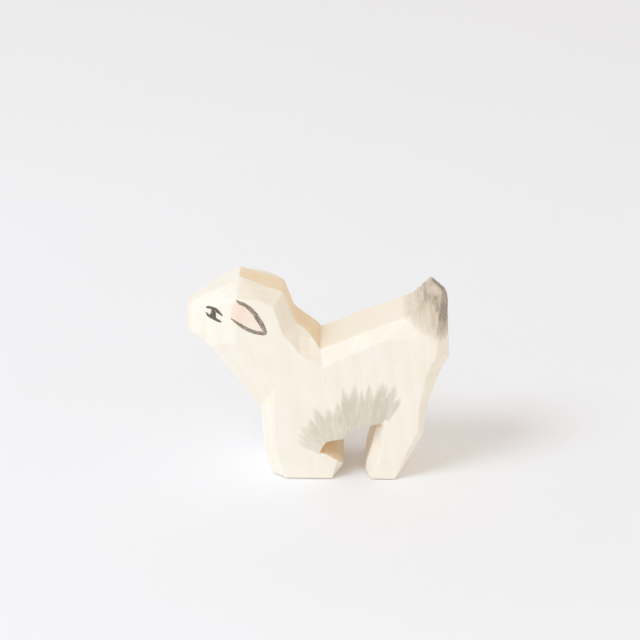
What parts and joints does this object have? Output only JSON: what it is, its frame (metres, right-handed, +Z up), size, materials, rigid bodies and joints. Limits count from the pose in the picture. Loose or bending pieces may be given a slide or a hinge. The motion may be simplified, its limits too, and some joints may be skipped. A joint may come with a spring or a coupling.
{
  "type": "carved lamb figurine",
  "caption": "Small standing lamb carved from a pale wooden board, with knife-cut facets and hand-painted eyes, ears, belly and tail.",
  "frame": {"origin": "on the ground, under the middle of the figure's length and thickness", "axes": "+X from the nose to the rump, +Y across the board towards the animal's right side, +Z up"},
  "size_m": [0.0701, 0.0212, 0.0565],
  "materials": {
    "carved_wood": "knife-cut bare maple with a thin oil finish",
    "dark_line_paint": "thin brown-black brush stroke, dry and matt",
    "pink_wash": "thin pink wash, matt",
    "grey_wash": "thin grey-brown wash, matt and feathered"
  },
  "bodies": {
    "root": {"carved_body": "carved_wood", "tail_wash": "grey_wash", "nose_blush": "pink_wash", "left_eye_upper_lid": "dark_line_paint", "left_eye_lower_lid": "dark_line_paint", "left_eye_pupil": "dark_line_paint", "left_ear_upper_line": "dark_line_paint", "left_ear_lower_line": "dark_line_paint", "left_ear_blush": "pink_wash", "left_belly_wash": "grey_wash", "right_eye_upper_lid": "dark_line_paint", "right_eye_lower_lid": "dark_line_paint", "right_eye_pupil": "dark_line_paint", "right_ear_upper_line": "dark_line_paint", "right_ear_lower_line": "dark_line_paint", "right_ear_blush": "pink_wash", "right_belly_wash": "grey_wash"}
  },
  "joints": []
}
